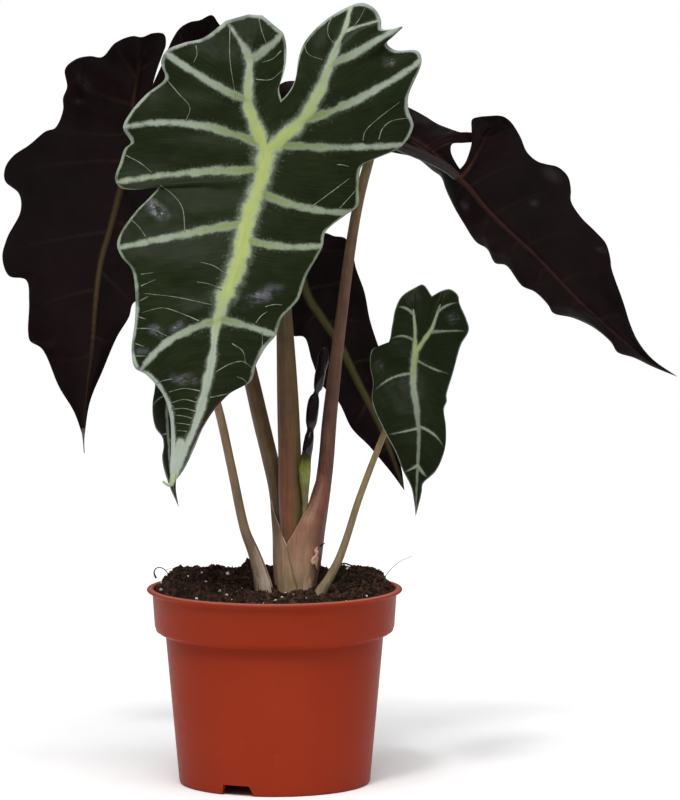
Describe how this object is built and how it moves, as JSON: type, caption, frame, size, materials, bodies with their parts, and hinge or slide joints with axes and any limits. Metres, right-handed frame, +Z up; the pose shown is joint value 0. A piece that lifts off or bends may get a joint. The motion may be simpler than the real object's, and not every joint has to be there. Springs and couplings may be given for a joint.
{
  "type": "potted alocasia",
  "caption": "Small arrow-leaved alocasia with dark glossy, wavy-edged leaf blades on long upright stalks, growing from a sheathed crown in soil in a round terracotta-coloured nursery pot.",
  "frame": {"origin": "middle of the pot's flat resting face, on the pot's upright axis", "axes": "+X to the viewer's right in the picture, +Y away from the viewer, +Z up along the pot's axis"},
  "size_m": [0.3236, 0.1506, 0.3658],
  "materials": {
    "pot": "satin",
    "soil": "matte",
    "crown": "matte",
    "young_leaf": "gloss",
    "leaf_stalk": "satin",
    "pale_stalk": "satin",
    "leaf_upper_face": "gloss",
    "leaf_under_face": "satin"
  },
  "bodies": {
    "root": {"pot": "pot", "soil": "soil", "crown": "crown", "young_leaf": "young_leaf", "stalk_front": "leaf_stalk", "stalk_left": "leaf_stalk", "stalk_right": "leaf_stalk", "stalk_rear": "leaf_stalk", "stalk_small_right": "pale_stalk", "stalk_small_left": "pale_stalk", "blade_front": "leaf_upper_face", "blade_left": "leaf_under_face", "blade_right": "leaf_under_face", "blade_rear": "leaf_under_face", "blade_small_right": "leaf_upper_face", "blade_small_left": "leaf_upper_face"}
  },
  "joints": []
}
